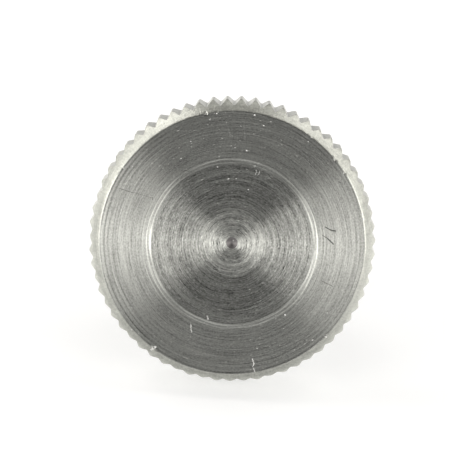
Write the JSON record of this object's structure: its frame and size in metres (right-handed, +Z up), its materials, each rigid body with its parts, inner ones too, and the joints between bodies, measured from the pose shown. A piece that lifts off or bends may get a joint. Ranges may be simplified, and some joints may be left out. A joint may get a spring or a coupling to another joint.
{
  "type": "knurled thumb screw",
  "caption": "Bare steel thumb screw of high type: a flat turned head with straight knurling, a collar and a metric threaded shank, turned by the fingers without a tool.",
  "frame": {"origin": "middle of the footprint, on the surface that the screw lies on", "axes": "+Z up; the screw lies on two knurl teeth and its tip, so its axis runs from the head, towards -Y, to the tip, towards +Y, and slopes down that way; +Y is the longest way; X runs across the head"},
  "size_m": [0.02, 0.0296, 0.0197],
  "materials": {
    "steel": "bare stainless steel as it left the lathe: fine concentric tool marks, satin"
  },
  "bodies": {
    "root": {"thumb_screw": "steel"}
  },
  "joints": []
}
